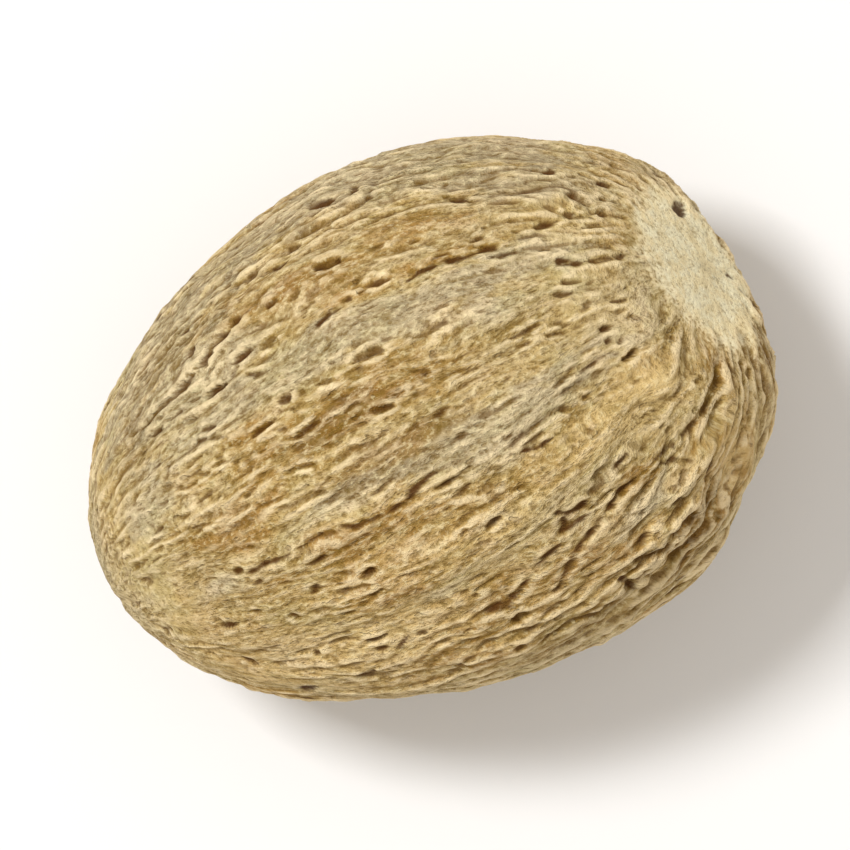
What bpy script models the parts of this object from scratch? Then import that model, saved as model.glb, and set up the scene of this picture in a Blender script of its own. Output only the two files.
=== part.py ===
"""A whole nutmeg: the dried seed of the nutmeg tree, without its shell and mace.

It lies on its side on a small flat of its own, with its long axis along X. The hilum, the pale
scar where the seed hung, is at the +X end and looks a little upwards. The chalaza, a small
dark pit, is at the other end. Furrows run from one to the other like meridians, and one deeper
furrow, the raphe, runs between them low on the -Y side.
Metres, +Z up, the origin on the ground under the middle of the seed.
"""

import math

import bmesh
import bpy
import numpy as np

# Driving dimensions, in metres.
LENGTH = 0.0270
WIDTH = 0.0206
HEIGHT = 0.0198

# Facets round the seed and from end to end.
SEGMENTS = 88
RINGS = 52

# The form below is worked out in millimetres.
MM_PER_METRE = 1000.0
HALF_LENGTH = LENGTH * MM_PER_METRE / 2
HALF_WIDTH = WIDTH * MM_PER_METRE / 2
HALF_HEIGHT = HEIGHT * MM_PER_METRE / 2

# How much thicker the hilum half is than the other, as a share.
TAPER = 0.085

# Both ends of the furrows: azimuth from +X and elevation, in degrees.
HILUM = (9.0, 16.0)
CHALAZA = (187.0, -10.0)

# The scar at the hilum is a soft flat: where it faces, how far it is from the seed's middle and
# how softly it meets the rest.
SCAR_FACING = (8.0, 27.0)
SCAR_DISTANCE = 11.95
SCAR_SOFTNESS = 0.3
SCAR_RIM_RADIUS = 3.4
SCAR_RIM_WIDTH = 0.8
SCAR_RIM_HEIGHT = 0.06

PIT_RADIUS = 1.3
PIT_DEPTH = 0.55

# Low swellings, and flats where the height is negative:
# azimuth, elevation, height in millimetres, spread in degrees.
SWELLS = (
    (27, -2, 0.34, 11),
    (341, -6, 0.27, 10),
    (312, -6, 0.18, 10),
    (326, -8, -0.42, 9),
    (92, -10, 0.22, 34),
    (205, -6, 0.12, 18),
    (250, -12, -0.20, 22),
    (150, 30, -0.14, 22),
    (60, 42, 0.16, 20),
    (285, 50, -0.12, 20),
    (8, -34, 0.30, 20),
    (120, -42, 0.22, 22),
    (190, -38, -0.14, 20),
    (245, -48, 0.22, 18),
    (325, -46, 0.18, 18),
    (60, -50, -0.16, 18),
)

# Furrows: how many round the seed, depth in millimetres, phase, and sway from end to end.
FURROWS = (
    (9, 0.055, 0.6, 1.1),
    (14, 0.060, 2.1, -1.4),
    (19, 0.050, 4.4, 1.9),
)

# The furrows are deeper on the shoulder low beside the hilum.
SHOULDER = (322, 18)
SHOULDER_SPREAD = 32
SHOULDER_GAIN = 1.6

RAPHE_LONGITUDE = math.radians(-118)
RAPHE_WIDTH = 0.10
RAPHE_DEPTH = 0.28

# The seed is worn flat where it lies: how deep the flat cuts, and how wide furrows fade round it.
FOOT_CUT = 0.26
FOOT_FADE = 5.0


def direction(azimuth, elevation):
    """Unit vector at an azimuth from +X and an elevation, both in degrees."""
    turn = math.radians(azimuth)
    rise = math.radians(elevation)
    flat = math.cos(rise)
    return np.array((flat * math.cos(turn), flat * math.sin(turn), math.sin(rise)))


def axis_frame():
    """The middle of the furrows' two ends, and unit vectors along, across and up their axis."""
    hilum = direction(*HILUM)
    chalaza = direction(*CHALAZA)
    along = hilum - chalaza
    along /= np.linalg.norm(along)
    across = np.cross((0.0, 0.0, 1.0), along)
    across /= np.linalg.norm(across)
    return (hilum + chalaza) / 2, along, across, np.cross(along, across)


def meet_at_the_ends(points):
    """Moves points of a unit sphere whose poles are on Z so that the poles are the two ends."""
    middle, along, across, up = axis_frame()
    rays = points[:, 2:3] * along + points[:, 0:1] * across + points[:, 1:2] * up
    lean = rays @ middle
    reach = np.sqrt(lean**2 + 1 - middle @ middle) - lean
    return middle + reach[:, None] * rays


def along_and_round(points):
    """Where points of the unit sphere lie between the ends, -1 to 1, and round the axis."""
    middle, along, across, up = axis_frame()
    rays = points - middle
    rays /= np.linalg.norm(rays, axis=1, keepdims=True)
    return rays @ along, np.arctan2(rays @ up, rays @ across)


def bump(points, centre, spread):
    """1 at the centre, falling smoothly to 0 with the angle from it. The spread is in degrees."""
    nearness = points @ direction(*centre)
    return np.exp((nearness - 1) / (1 - math.cos(math.radians(spread))))


def egg(points):
    """The plain egg form under everything else."""
    girth = 1 + TAPER * points[:, 0]
    sizes = np.array((HALF_LENGTH, HALF_WIDTH, HALF_HEIGHT))
    form = points * sizes
    form[:, 1:] *= girth[:, None]
    return form


def flatten_scar(form):
    """Presses the egg back to the plane of the scar, softly round its edge."""
    outward = direction(*SCAR_FACING)
    over = (form @ outward - SCAR_DISTANCE) / SCAR_SOFTNESS
    return form - SCAR_SOFTNESS * np.logaddexp(0, over)[:, None] * outward


def relief(points, form):
    """How far the surface stands out of the egg, in millimetres."""
    towards = form / np.linalg.norm(form, axis=1, keepdims=True)
    height = sum(rise * bump(towards, (turn, tilt), spread) for turn, tilt, rise, spread in SWELLS)
    place, turn = along_and_round(points)
    fade = 1 - place**2
    lines = sum(
        depth * np.cos(count * turn + phase + sway * place)
        for count, depth, phase, sway in FURROWS
    )
    gain = 1 + SHOULDER_GAIN * bump(towards, SHOULDER, SHOULDER_SPREAD)
    height += lines * gain * fade * away_from_foot(form)
    height -= RAPHE_DEPTH * fade * furrow_at(turn, RAPHE_LONGITUDE, RAPHE_WIDTH)
    return height + scar_rim(form) - chalaza_pit(form)


def away_from_foot(form):
    """0 under the seed where it lies, 1 away from there."""
    near = np.exp(-(form[:, 0] ** 2 + form[:, 1] ** 2) / FOOT_FADE**2)
    return 1 - near * (form[:, 2] < 0)


def furrow_at(turn, centre, width):
    """1 along one meridian, falling to 0 on both sides."""
    apart = np.angle(np.exp(1j * (turn - centre)))
    return np.exp(-((apart / width) ** 2))


def distance_from(form, end):
    """Distance from the line out through an end, for the points on that end's side."""
    outward = direction(*end)
    ahead = form @ outward
    aside = np.linalg.norm(form - ahead[:, None] * outward, axis=1)
    return np.where(ahead > 0, aside, np.inf)


def scar_rim(form):
    """A low rim round the scar."""
    apart = (distance_from(form, HILUM) - SCAR_RIM_RADIUS) / SCAR_RIM_WIDTH
    return SCAR_RIM_HEIGHT * np.exp(-(apart**2))


def chalaza_pit(form):
    """The small pit at the other end."""
    return PIT_DEPTH * np.exp(-((distance_from(form, CHALAZA) / PIT_RADIUS) ** 2))


def wear_flat(form):
    """Cuts the lowest part to a level flat."""
    form[:, 2] = np.maximum(form[:, 2], form[:, 2].min() + FOOT_CUT)
    return form


def fit_to_size(form):
    """Brings the form to its named size, in metres, with the origin under its middle."""
    low = form.min(axis=0)
    high = form.max(axis=0)
    size = np.array((LENGTH, WIDTH, HEIGHT))
    placed = (form - (low + high) / 2) * size / (high - low)
    placed[:, 2] += HEIGHT / 2
    return placed


def seed_form(points):
    """The seed's surface in metres, from points of the unit sphere."""
    form = flatten_scar(egg(points))
    outward = form / np.linalg.norm(form, axis=1, keepdims=True)
    form = form + relief(points, form)[:, None] * outward
    return fit_to_size(wear_flat(form))


def nutmeg_skin():
    """The seed's dry brown skin, dusted pale."""
    material = bpy.data.materials.new("nutmeg_skin")
    material.use_nodes = True
    shader = material.node_tree.nodes["Principled BSDF"]
    shader.inputs["Base Color"].default_value = (0.52, 0.40, 0.22, 1.0)
    shader.inputs["Roughness"].default_value = 0.72
    shader.inputs["Metallic"].default_value = 0.0
    material.diffuse_color = (0.52, 0.40, 0.22, 1.0)
    return material


def make_nutmeg(collection):
    """The seed, one closed body."""
    mesh = bpy.data.meshes.new("nutmeg")
    build = bmesh.new()
    bmesh.ops.create_uvsphere(build, u_segments=SEGMENTS, v_segments=RINGS, radius=1)
    sphere = np.array([vertex.co for vertex in build.verts])
    for vertex, place in zip(build.verts, seed_form(meet_at_the_ends(sphere))):
        vertex.co = place
    bmesh.ops.recalc_face_normals(build, faces=build.faces)
    build.to_mesh(mesh)
    build.free()
    mesh.shade_smooth()
    mesh.materials.append(nutmeg_skin())
    nutmeg = bpy.data.objects.new("nutmeg", mesh)
    collection.objects.link(nutmeg)
    return nutmeg


def clear_scene():
    for item in list(bpy.data.objects):
        bpy.data.objects.remove(item, do_unlink=True)


def main():
    clear_scene()
    collection = bpy.data.collections.new("whole_nutmeg")
    bpy.context.scene.collection.children.link(collection)
    make_nutmeg(collection)


main()
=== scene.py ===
"""The looks of a whole nutmeg: its dry furrowed skin, gouged along the grain, with a pale scar at one end."""

import math

import bpy
import numpy as np
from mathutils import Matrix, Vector, noise


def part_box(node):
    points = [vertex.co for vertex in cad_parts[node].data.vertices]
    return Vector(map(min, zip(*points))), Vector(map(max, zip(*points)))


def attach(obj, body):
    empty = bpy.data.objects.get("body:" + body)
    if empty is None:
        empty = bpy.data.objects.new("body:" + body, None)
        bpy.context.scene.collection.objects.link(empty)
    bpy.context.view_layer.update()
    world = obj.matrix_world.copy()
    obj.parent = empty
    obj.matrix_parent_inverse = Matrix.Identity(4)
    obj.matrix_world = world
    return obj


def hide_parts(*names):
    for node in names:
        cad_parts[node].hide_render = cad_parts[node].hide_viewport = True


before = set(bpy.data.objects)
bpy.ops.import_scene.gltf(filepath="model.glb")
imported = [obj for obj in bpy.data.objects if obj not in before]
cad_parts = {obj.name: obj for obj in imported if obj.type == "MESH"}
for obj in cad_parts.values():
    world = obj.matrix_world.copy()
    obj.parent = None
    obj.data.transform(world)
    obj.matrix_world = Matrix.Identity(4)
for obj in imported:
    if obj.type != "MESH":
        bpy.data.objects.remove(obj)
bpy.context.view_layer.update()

# The seed's size and place come from the frame. Its form is worked out in millimetres.
MM = 0.001
LOW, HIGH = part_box("nutmeg")
SIZE = np.array(HIGH - LOW) / MM
MIDDLE = np.array(HIGH + LOW) / 2 / MM

# Squares of the mesh on each face of the cube that it is blown up from.
ACROSS = 124
ALONG = 130
# How much closer the squares lie on the upper side.
CROWDING = 0.3
# Room round each island of the map, as a share of the map.
MAP_MARGIN = 0.008

# ---- The solid's own form, from the same named values as the solid's source.
# How much the girth grows from the middle to the scar's end.
TAPER = 0.085
# Azimuth and elevation, in degrees, of the two ends and of the scar's plane.
HILUM = (9.0, 16.0)
CHALAZA = (187.0, -10.0)
SCAR_FACING = (8.0, 27.0)
SCAR_DISTANCE = 11.95
SCAR_SOFTNESS = 0.3
SCAR_RIM_RADIUS = 3.4
SCAR_RIM_WIDTH = 0.8
SCAR_RIM_HEIGHT = 0.06
PIT_RADIUS = 1.3
PIT_DEPTH = 0.55
# Low swellings and flats: azimuth, elevation, height in millimetres, spread in degrees.
SWELLS = (
    (27, -2, 0.34, 11),
    (341, -6, 0.27, 10),
    (312, -6, 0.18, 10),
    (326, -8, -0.42, 9),
    (92, -10, 0.22, 34),
    (205, -6, 0.12, 18),
    (250, -12, -0.20, 22),
    (150, 30, -0.14, 22),
    (60, 42, 0.16, 20),
    (285, 50, -0.12, 20),
    (8, -34, 0.30, 20),
    (120, -42, 0.22, 22),
    (190, -38, -0.14, 20),
    (245, -48, 0.22, 18),
    (325, -46, 0.18, 18),
    (60, -50, -0.16, 18),
)
# Broad furrows: how many round the seed, depth in millimetres, phase, and sway from end to end.
FURROWS = (
    (9, 0.055, 0.6, 1.1),
    (14, 0.060, 2.1, -1.4),
    (19, 0.050, 4.4, 1.9),
)
# The rough shoulder: azimuth and elevation, spread in degrees, and how much deeper its furrows are.
SHOULDER = (322, 18)
SHOULDER_SPREAD = 32
SHOULDER_GAIN = 1.6
# The furrow of the raphe runs from end to end on one side.
RAPHE_LONGITUDE = math.radians(-118)
RAPHE_WIDTH = 0.10
RAPHE_DEPTH = 0.28
# The flat that the seed lies on: how deep it is cut, and how soon the furrows come back round it.
FOOT_CUT = 0.26
FOOT_FADE = 5.0

# ---- The grain, in millimetres.
# It runs from end to end like meridians. Its coordinates are a place along it and one round a
# cylinder. Near the ends a pattern is read from smaller and smaller cylinders, each smaller than
# the last by the step, so that it keeps its width.
GRAIN_RADIUS = 10.0
GRAIN_REACH = 11.8
GRAIN_STEP = 1.8
GRAIN_LEVELS = 4
LEVEL_SEEDS = 100
LEAST_RADIUS = 0.4
# How far ahead and behind a point the grain's direction is read.
HEADING_STEP = 0.8
# How far apart in the noise the patterns of two seeds lie.
SEED_STEP = np.array((7.31, 3.17, 5.93))
# The smaller cylinder that the material's own patterns go round near the ends, and where it starts.
INNER_RADIUS = 4.5
INNER_START = 7.0
INNER_FADE = 3.0
# How far the grain wanders aside: broadly, closely, and closely on the shoulder as well.
BROAD_SWAY = 0.5
CLOSE_SWAY = 0.3
SHOULDER_SWAY = 0.5

# Patterns drawn out along the grain: length and width of a feature, and seed.
BROAD_SWAYS = (6.0, 4.0, 1)
CLOSE_SWAYS = (2.4, 1.4, 2)
CROWDS = (5.0, 2.0, 5)
WIGGLES = (0.9, 0.9, 7)
BITES = (0.45, 0.25, 8)
BUSY_PLACES = (4.0, 1.6, 9)
RIDGES = (1.3, 0.26, 13)
RIDGED_PLACES = (6.0, 3.0, 14)
LUMPS = (0.5, 0.3, 15)
POCKS = (0.8, 0.28, 27)
# The ragged edge of a spot: strength and pattern.
SPOT_EDGES = ((0.6, (1.6, 0.6, 52)), (0.4, (0.5, 0.25, 53)))

# ---- Round patches at the ends: azimuth and elevation, reach and width of the edge, and seed.
SCAR = ((7.0, 13.3), 3.45, 3.0, 3)
TIP = (CHALAZA, 4.5, 4.0, 4)
SMOOTH_END = (HILUM, 3.2, 2.0, 6)
# The ragged edge of a patch: strength and size of a feature.
PATCH_EDGES = ((0.6, 1.6), (0.5, 0.5))
# How much of the roughness the smooth end, the tip and a calm place take away.
END_SMOOTHNESS = 0.9
TIP_SMOOTHNESS = 0.5
CALM_SMOOTHNESS = 0.7
CALM_LIMITS = (-0.8, 0.9)
# Busy places: what the shoulder adds to their pattern, and how soft their edges are.
BUSY_ON_SHOULDER = 0.5
BUSY_EDGE = 0.8

# ---- The fine relief, in millimetres.
# Layers that are the same in all directions: height, size of a feature, seed.
EVEN_RELIEF = ((0.05, 2.2, 42), (0.025, 0.35, 41))
# Layers drawn out along the grain: height, what is added on the shoulder and in busy places, pattern.
DRAWN_RELIEF = (
    (0.07, 0.16, 0.0, (3.5, 0.9, 11)),
    (0.05, 0.0, 0.12, (1.6, 0.5, 12)),
    (0.03, 0.0, 0.0, (4.0, 0.22, 16)),
    (0.03, 0.0, 0.0, (0.7, 0.28, 17)),
)
# The layer that is lumps in some places and ridges in others: how likely ridges are, what the
# shoulder adds to that, how soft the change is, the height, and what busy places add to it.
RIDGED_BASE = 0.1
RIDGED_ON_SHOULDER = 0.6
RIDGED_EDGE = 0.6
RIDGE_HEIGHT = 0.035
BUSY_RIDGE_HEIGHT = 0.09
# Thin branching lines: how strong, length and width of a feature, seed, and a line's width.
WRINKLES = ((1.0, 3.5, 0.9, 21, 0.06), (0.6, 1.6, 0.5, 24, 0.07))
# They break off in places this much shorter and wider than their own features.
BREAK_LENGTH = 0.7
BREAK_WIDTH = 1.6
BREAK_EDGE = 0.5
# The wrinkles' depth, and how much they darken: their own brown with painted shade.
WRINKLE_DEPTH = 0.06
WRINKLE_STAIN_AND_SHADE = 0.25
# Small pits between the gouges, where the pattern stands above a level, which busy places lower. Their
# darkening is their own brown with painted shade.
POCK_LEVEL = 0.66
POCK_BUSY_DROP = 0.35
POCK_EDGE = 0.15
POCK_DEPTH = 0.11
POCK_STAIN_AND_SHADE = 0.35
# How much of the relief the flat under the seed takes away.
FOOT_SMOOTHNESS = 0.8
# How much the gouges' walls are evened out, and how steeply that rises with how dark their floors are.
WALL_SMOOTHNESS = 0.7
WALL_GAIN = 3.0
# How far fully pale crests and fully brown hollows are from the skin evened out in so many rounds.
# The crests' pale is partly rubbed skin, partly a painted highlight; the hollows' brown is partly their own,
# partly painted shade.
CREST_HEIGHT = 0.06
CREST_ROUNDS = 6

# ---- Gouges and creases, in millimetres.
# A gouge's lip, as a share of its depth, and how far it stands off the edge.
LIP_SHARE = 0.25
LIP_WIDTH = 0.09
# How steeply the lip falls off towards the gouge's ends.
LIP_TAPER = 1.4
# How far gouges wiggle aside.
WIGGLE_REACH = 0.14
# How much the bites vary the width of a gouge, and the darkness of its floor.
EDGE_BITES = 0.8
FLOOR_BITES = 0.6
LEAST_EDGE = 0.03
# A crease's edge is bitten more, and its lip is higher and wider.
CREASE_BITES = 1.6
CREASE_EDGE_LIMITS = (0.2, 2.2)
CREASE_WIGGLE = 0.6
CREASE_LIP = 1.1
CREASE_LIP_WIDTH = 1.5 * LIP_WIDTH
# How much a crease's floor darkens: its own brown with painted shade.
CREASE_STAIN_AND_SHADE = 0.85
# Creases narrow and pale down to this share where the skin is steep.
STEEP_SHARE = 0.4
STEEP_GAIN = 1.5
# The upper side's own gouges: how much deeper they are than listed, and how much of their dark floor,
# brown with painted shade, they lose where they face straight up.
TOP_DEPTH_GAIN = 1.7
TOP_STAIN_AND_SHADE_LOSS = 0.4
# Strewn gouges: how many, length, half width, depth, the powers of the size that width and depth
# grow with, spread of the tilt in degrees, and the least and most darkening of the floor, brown with painted
# shade.
STREWN_SEED = 7
STRONG_GOUGES = (260, 0.75, 0.11, 0.121, 0.3, 0.3, 9, (0.5, 1.0))
FAINT_GOUGES = (600, 0.5, 0.08, 0.06, 0.0, 0.5, 14, (0.2, 0.6))
SIZE_SPREAD = 0.4
# Chance of a strewn gouge, and the limits of what the crowds' pattern adds to it.
CROWD_BASE = 0.3
CROWD_LIMITS = (-0.25, 0.7)
# The strong ones keep below this height over the middle.
STRONG_BELOW = 1.0

# ---- Strewn stains and shades: strength, the share of it on the upper side, and pattern.
STREWN_STAINS = (1.4, 0.15, (5.0, 1.8, 51))
STREWN_SHADES = (0.8, 0.2, (3.0, 1.2, 54))
# The height over the middle where the upper side gives way, and over how much.
HIDDEN_BELOW = 1.0
HIDDEN_FADE = 4.0

# The gouges that give the upper side its face: x, y from the middle, length, half width, depth,
# and, where they don't run along the grain, the tilt from it in degrees.
TOP_GOUGES = (
    (-0.35, 9.25, 1.0, 0.13, 0.16, -4),
    (0.97, 9.25, 0.5, 0.11, 0.11, 20),
    (-1.95, 8.1, 0.55, 0.12, 0.12, -12),
    (-3.85, 7.7, 0.7, 0.12, 0.10, 15),
    (-1.05, 7.05, 1.1, 0.15, 0.16, -2),
    (-3.55, 6.5, 0.6, 0.10, 0.11),
    (-2.7, 7.65, 0.6, 0.09, 0.07),
    (4.5, 7.3, 0.6, 0.11, 0.08),
    (8.0, 6.95, 0.45, 0.09, 0.08),
    (4.5, 5.65, 0.5, 0.12, 0.11),
    (0.45, 5.6, 1.1, 0.10, 0.12),
    (5.2, 4.7, 1.2, 0.08, 0.08),
    (7.1, 5.2, 0.8, 0.10, 0.06),
    (8.1, 5.2, 0.5, 0.12, 0.10, -20),
    (8.55, 5.75, 0.6, 0.10, 0.07),
    (9.8, 5.75, 0.55, 0.10, 0.10, -10),
    (9.3, 4.8, 0.5, 0.10, 0.09, -15),
    (-7.0, 6.8, 0.4, 0.11, 0.09),
    (-7.05, 5.95, 0.5, 0.09, 0.08, 20),
    (-6.75, 4.3, 0.95, 0.14, 0.17, 6),
    (-5.35, 5.08, 0.95, 0.11, 0.12),
    (-5.0, 4.2, 0.9, 0.11, 0.07, -20),
    (-9.5, 3.7, 0.5, 0.12, 0.11),
    (-7.55, 3.05, 0.5, 0.11, 0.08, -15),
    (-8.0, 2.75, 0.4, 0.11, 0.08, -10),
    (-0.95, 3.3, 1.4, 0.20, 0.17, 3),
    (-4.5, 2.95, 0.55, 0.20, 0.10),
    (7.1, 2.8, 0.7, 0.08, 0.09, -8),
    (6.7, 2.5, 0.9, 0.08, 0.08, -8),
    (-5.75, 2.28, 1.0, 0.09, 0.11),
    (4.8, 1.75, 1.3, 0.09, 0.10, -8),
    (5.8, 1.25, 0.8, 0.08, 0.09, -4),
    (4.6, 1.3, 0.6, 0.07, 0.06),
    (8.5, 1.45, 0.7, 0.08, 0.07, -8),
    (-4.1, 1.6, 1.1, 0.12, 0.11),
    (-2.3, 1.7, 0.7, 0.10, 0.10, 8),
    (-1.2, 1.2, 1.0, 0.12, 0.16, -8),
    (0.75, 1.8, 0.3, 0.10, 0.09, 40),
    (7.65, 0.7, 0.4, 0.11, 0.12, 10),
    (7.55, 0.25, 0.3, 0.08, 0.08, 20),
    (8.0, 0.03, 0.3, 0.09, 0.09, 40),
    (-4.75, 0.35, 0.6, 0.12, 0.15),
    (-1.75, 0.25, 0.6, 0.10, 0.12, 10),
    (0.7, 0.2, 0.8, 0.12, 0.08),
    (3.1, -0.5, 0.9, 0.08, 0.09),
    (6.4, -0.4, 1.0, 0.07, 0.06),
    (8.1, -0.6, 0.6, 0.12, 0.17, 5),
    (1.1, -0.95, 0.45, 0.09, 0.07),
    (5.05, -1.5, 0.4, 0.11, 0.09),
    (5.95, -1.4, 0.35, 0.10, 0.09, -40),
    (-2.45, -1.55, 1.2, 0.10, 0.10),
    (0.2, -2.25, 1.6, 0.10, 0.13, 8),
    (0.3, -2.82, 0.8, 0.08, 0.09, 4),
    (3.5, -2.05, 1.1, 0.07, 0.09),
    (-8.6, -2.3, 0.35, 0.12, 0.08),
    (-8.1, -3.0, 0.4, 0.11, 0.09),
    (-5.7, -3.1, 0.8, 0.09, 0.08, 8),
    (-3.8, -2.92, 0.8, 0.08, 0.07),
    (-8.65, -4.0, 0.3, 0.13, 0.12),
    (-9.8, -4.1, 0.7, 0.10, 0.08),
    (-6.25, -4.05, 0.45, 0.11, 0.10, 30),
    (-7.35, -4.7, 0.32, 0.13, 0.15, -30),
    (-5.2, -4.6, 0.35, 0.12, 0.10),
    (-4.15, -4.3, 0.55, 0.18, 0.14),
    (-4.1, -5.1, 0.65, 0.10, 0.11, 15),
    (0.95, -4.4, 0.75, 0.13, 0.16, 10),
    (-0.25, -4.25, 0.5, 0.08, 0.08, 12),
    (-9.65, -5.65, 0.6, 0.12, 0.09, -25),
    (-7.1, -6.3, 0.3, 0.10, 0.09),
    (-4.8, -6.7, 0.9, 0.11, 0.15),
    (-5.8, -7.9, 1.0, 0.10, 0.09, 6),
    (-8.0, -7.5, 0.7, 0.09, 0.07),
    (-0.75, -6.65, 0.35, 0.10, 0.09),
    (0.45, -8.08, 0.6, 0.13, 0.17, 8),
    (0.8, -8.6, 0.7, 0.08, 0.08, 10),
    (0.05, -9.1, 0.5, 0.12, 0.10),
    (-2.3, -8.85, 0.3, 0.10, 0.10),
    (6.3, -4.1, 0.7, 0.09, 0.09),
    (9.4, -5.7, 0.6, 0.11, 0.08, 10),
    (7.6, -6.3, 0.5, 0.12, 0.12),
    (5.95, -7.25, 0.6, 0.12, 0.13, 12),
    (4.65, -8.35, 0.4, 0.14, 0.14),
    (4.8, -8.6, 0.35, 0.16, 0.18),
    (11.9, -2.65, 0.4, 0.10, 0.12),
    (12.2, 3.85, 0.7, 0.24, 0.12),
    (12.85, 0.7, 0.35, 0.12, 0.06),
)
# The longer creases of the upper side: half width, depth, and the points that they run through.
TOP_CREASES = (
    (0.14, 0.16, ((-10.4, 3.95), (-9.6, 4.15), (-8.7, 4.6), (-7.6, 5.0), (-6.8, 5.4))),
    (0.16, 0.19, ((-7.3, 5.15), (-6.2, 5.8), (-5.4, 6.2), (-4.9, 6.45))),
    (0.12, 0.13, ((-9.5, 3.75), (-8.9, 3.9), (-8.3, 4.1))),
    (0.11, 0.08, ((-2.3, 5.05), (-1.6, 5.3), (-0.8, 5.4))),
    (0.09, 0.08, ((1.5, 5.2), (2.4, 5.42), (3.3, 5.3))),
    (0.12, 0.13, ((3.3, 5.3), (4.2, 5.2), (5.0, 5.15))),
    (0.10, 0.11, ((7.0, 3.65), (8.0, 3.25), (9.2, 2.95), (9.9, 2.65), (10.2, 2.85))),
    (0.13, 0.08, ((-4.4, -2.2), (-3.8, -2.5), (-2.4, -2.45), (-1.6, -2.3), (-1.0, -1.9), (0.0, -1.75))),
    (0.10, 0.08, ((-8.2, -2.5), (-6.8, -2.45), (-5.6, -2.3), (-5.2, -2.2))),
    (0.08, 0.07, ((2.5, -2.25), (3.5, -2.45), (4.4, -2.25))),
    (0.10, 0.12, ((-0.6, -7.4), (0.3, -7.45), (0.8, -7.15), (1.6, -6.65), (2.9, -6.05))),
    (0.13, 0.15, ((3.1, -5.7), (3.4, -5.4), (3.35, -5.0), (3.6, -5.15), (4.4, -5.05))),
    (0.09, 0.10, ((3.2, -5.75), (4.0, -5.5), (4.6, -5.3))),
    (0.10, 0.12, ((4.2, -6.1), (5.1, -5.6), (5.7, -5.2), (6.4, -5.05))),
    (0.12, 0.14, ((2.2, -7.65), (2.6, -7.3), (2.9, -6.95), (3.2, -6.9))),
    (0.10, 0.10, ((3.1, -6.65), (3.8, -6.35), (4.5, -6.05))),
    (0.17, 0.22, ((5.4, -7.9), (6.4, -7.85), (7.3, -7.4), (8.1, -7.05))),
    (0.12, 0.16, ((8.7, -4.15), (9.3, -3.95), (9.9, -3.6), (10.4, -3.2), (10.9, -2.75))),
    (0.08, 0.08, ((7.4, -4.6), (8.3, -4.35))),
    (0.13, 0.12, ((7.7, -4.85), (8.2, -4.9), (8.7, -5.2))),
    (0.12, 0.16, ((1.5, -9.15), (2.3, -9.0), (3.3, -9.15), (3.8, -9.0), (4.2, -8.85))),
    (0.12, 0.10, ((2.3, -9.5), (3.1, -9.5))),
    (0.10, 0.08, ((-5.0, -7.1), (-4.1, -7.3), (-3.7, -7.05), (-3.0, -7.2))),
)
# Stains on the upper side: x, y, length, width, and ochre (+) or grey (-). The ochre rows over the
# lower right are partly painted warm light reflected into the shade there.
TOP_STAINS_AND_WARM_REFLECTION = (
    (-3.4, 2.5, 8.0, 1.5, 0.7),
    (-3.0, 1.5, 5.0, 1.4, 0.9),
    (-5.5, 1.0, 4.0, 2.2, 0.6),
    (1.2, 1.6, 3.5, 2.0, 0.4),
    (-6.1, 2.5, 1.4, 0.6, 0.6),
    (-8.0, -0.8, 3.6, 1.8, 0.9),
    (-4.0, -2.8, 6.5, 1.3, 0.8),
    (-5.0, -4.3, 8.0, 2.4, 0.5),
    (-7.0, -6.2, 9.0, 4.0, 0.6),
    (-2.5, -5.2, 5.0, 1.6, 0.5),
    (2.0, -3.3, 7.0, 1.5, 0.4),
    (-1.5, 6.9, 8.0, 1.3, 0.7),
    (3.0, 7.0, 3.0, 1.2, 0.6),
    (0.8, 5.6, 4.0, 0.6, 0.7),
    (4.0, 5.4, 3.0, 0.6, 0.7),
    (-4.6, 6.6, 2.5, 0.6, 0.4),
    (-7.2, 5.0, 6.0, 3.0, -0.9),
    (6.9, -5.0, 1.6, 1.0, 1.3),
    (8.6, -6.9, 5.0, 3.0, 1.2),
    (-0.5, -8.0, 11.0, 4.0, 0.7),
    (3.5, -7.5, 6.0, 2.5, 0.6),
    (10.8, -4.2, 5.0, 3.0, 0.5),
    (10.0, -3.5, 3.0, 1.0, 0.7),
    (10.0, -6.0, 4.0, 2.0, 0.8),
    (7.5, -2.2, 4.5, 1.6, 0.3),
    (-1.0, 4.5, 12.0, 2.0, -1.1),
    (-7.5, 3.2, 5.0, 1.2, -0.6),
    (-8.5, 6.4, 9.0, 3.6, -0.9),
    (-3.0, 9.2, 9.0, 3.4, -0.9),
    (4.0, 9.4, 9.0, 3.4, -1.3),
    (3.0, 9.0, 6.0, 2.4, -0.8),
    (8.0, 6.6, 6.0, 2.4, -0.6),
    (6.5, 4.4, 4.0, 1.4, -0.7),
    (-11.0, 1.2, 3.5, 2.4, -0.7),
    (-3.6, -1.2, 4.5, 1.3, -0.6),
    (2.5, -1.2, 8.0, 1.8, -0.9),
    (6.0, -6.3, 3.0, 1.2, -1.2),
    (-8.8, -2.6, 3.0, 1.0, -0.6),
    (8.5, 0.5, 4.0, 2.0, -0.4),
    (3.0, 3.0, 5.0, 1.6, -0.5),
    (8.5, 2.2, 4.0, 2.0, -0.4),
)
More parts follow.
